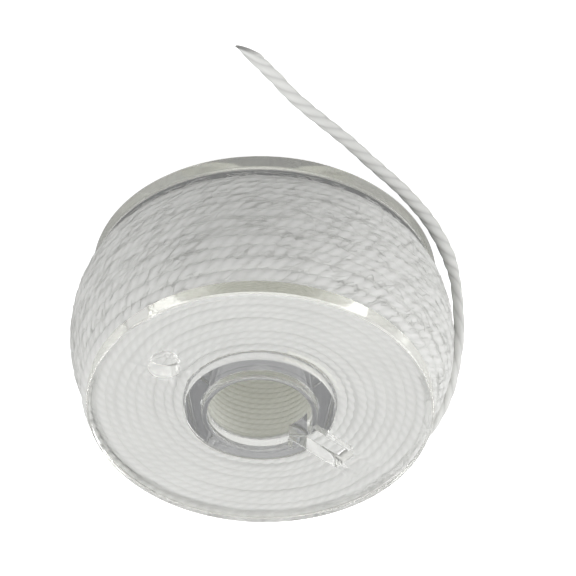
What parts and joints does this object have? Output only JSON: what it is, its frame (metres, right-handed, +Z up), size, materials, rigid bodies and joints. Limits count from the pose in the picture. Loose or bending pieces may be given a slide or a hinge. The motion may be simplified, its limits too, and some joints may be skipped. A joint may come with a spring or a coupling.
{
  "type": "wound sewing bobbin",
  "caption": "Clear plastic sewing-machine bobbin wound full with white thread, its loose end lying on the table beside it.",
  "frame": {"origin": "centre of the bottom end of the core tube, on the surface the bobbin stands on", "axes": "+Z up along the bobbin's axis, from the plain flange to the slotted flange; -Y towards the viewer, on the side where the loose thread lies"},
  "size_m": [0.023, 0.0302, 0.0117],
  "materials": {
    "clear_plastic_tube": "clear, polished, very faintly yellow-green",
    "clear_plastic_flange": "clear, polished, very faintly yellow-green",
    "thread": "spun white thread, soft sheen"
  },
  "bodies": {
    "root": {"core_tube": "clear_plastic_tube", "slotted_flange": "clear_plastic_flange", "plain_flange": "clear_plastic_flange", "thread_winding": "thread", "thread_tail": "thread"}
  },
  "joints": []
}
